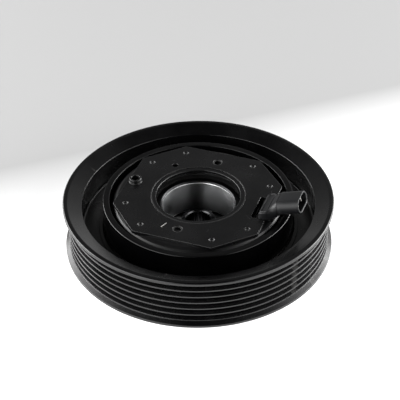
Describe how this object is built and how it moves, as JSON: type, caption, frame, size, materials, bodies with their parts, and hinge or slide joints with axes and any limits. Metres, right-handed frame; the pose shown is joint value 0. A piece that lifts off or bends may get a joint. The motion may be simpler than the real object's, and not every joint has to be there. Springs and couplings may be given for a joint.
{
  "type": "electromagnetic clutch",
  "caption": "Belt-driven electromagnetic clutch with grooved pulley, ball bearing, field coil with oval connector, splined hub and spring-held armature.",
  "frame": {"origin": "on the clutch's axis, in the plane of the pulley's front flange face that the clutch lies on", "axes": "+Z along the axis towards the field coil and the compressor, +X towards the coil's connector"},
  "size_m": [0.1328, 0.1328, 0.0397],
  "materials": {
    "coil_paint": "semi-gloss black e-coat on drawn steel",
    "plate_paint": "satin black e-coat on stamped steel",
    "bobbin_plastic": "glass-filled nylon",
    "copper_wire": "enamelled copper wire",
    "resin": "cast epoxy",
    "lead_insulation": "soft insulation",
    "connector_plastic": "satin moulded nylon, dark grey",
    "tinned_terminal": "tin plate",
    "bearing_steel": "ground bearing steel",
    "ball_steel": "polished",
    "cage_plastic": "natural nylon",
    "seal_rubber": "moulded nitrile rubber",
    "spring_steel_black": "phosphated spring steel",
    "pulley_paint": "semi-gloss black e-coat on turned steel",
    "rotor_paint": "semi-gloss black e-coat on turned iron",
    "friction_lining": "pressed friction material",
    "hub_steel": "machined, lightly oiled",
    "hub_paint": "satin black e-coat",
    "leaf_steel": "rolled spring steel",
    "rivet_steel": "plated",
    "armature_steel": "turned iron with a thin phosphate"
  },
  "bodies": {
    "field": {"coil_shell": "coil_paint", "mounting_plate": "plate_paint", "plate_rivets": "plate_paint", "locating_bush": "plate_paint", "coil_bobbin": "bobbin_plastic", "coil_winding": "copper_wire", "potting_resin": "resin", "coil_leads": "lead_insulation", "connector_elbow": "connector_plastic", "connector_barrel": "connector_plastic", "terminal_pins": "tinned_terminal", "bearing_inner_ring": "bearing_steel"},
    "pulley": {"pulley_rim": "pulley_paint", "pulley_web": "pulley_paint", "rotor_wall": "rotor_paint", "rotor_disc": "rotor_paint", "bearing_seat": "rotor_paint", "friction_ring": "friction_lining", "bearing_outer_ring": "bearing_steel", "front_seal": "seal_rubber", "rear_seal": "seal_rubber", "bearing_snap_ring": "spring_steel_black"},
    "bearing_cage": {"bearing_balls": "ball_steel", "front_cage": "cage_plastic", "rear_cage": "cage_plastic"},
    "hub": {"hub_sleeve": "hub_steel", "hub_flange": "hub_paint", "leaf_springs": "leaf_steel", "hub_rivets": "rivet_steel"},
    "armature": {"armature_plate": "armature_steel", "armature_rivets": "rivet_steel"}
  },
  "joints": [
    {"name": "pulley_spin", "type": "hinge", "parent": "field", "child": "pulley", "pos_m": [0, 0, 0.0136], "axis": [0, 0, 1], "continuous": true},
    {"name": "cage_spin", "type": "hinge", "parent": "field", "child": "bearing_cage", "pos_m": [0, 0, 0.0136], "axis": [0, 0, 1], "continuous": true},
    {"name": "hub_spin", "type": "hinge", "parent": "field", "child": "hub", "pos_m": [0, 0, 0.0029], "axis": [0, 0, 1], "continuous": true},
    {"name": "armature_engage", "type": "slide", "parent": "hub", "child": "armature", "axis": [0, 0, 1], "range_m": [0, 0.00048], "stiffness_N_per_m": 20000, "springref_m": -0.0003, "deforming": ["leaf_springs"]}
  ],
  "couplings": [
    {"joint": "cage_spin", "follows": "pulley_spin", "ratio": 0.56}
  ]
}
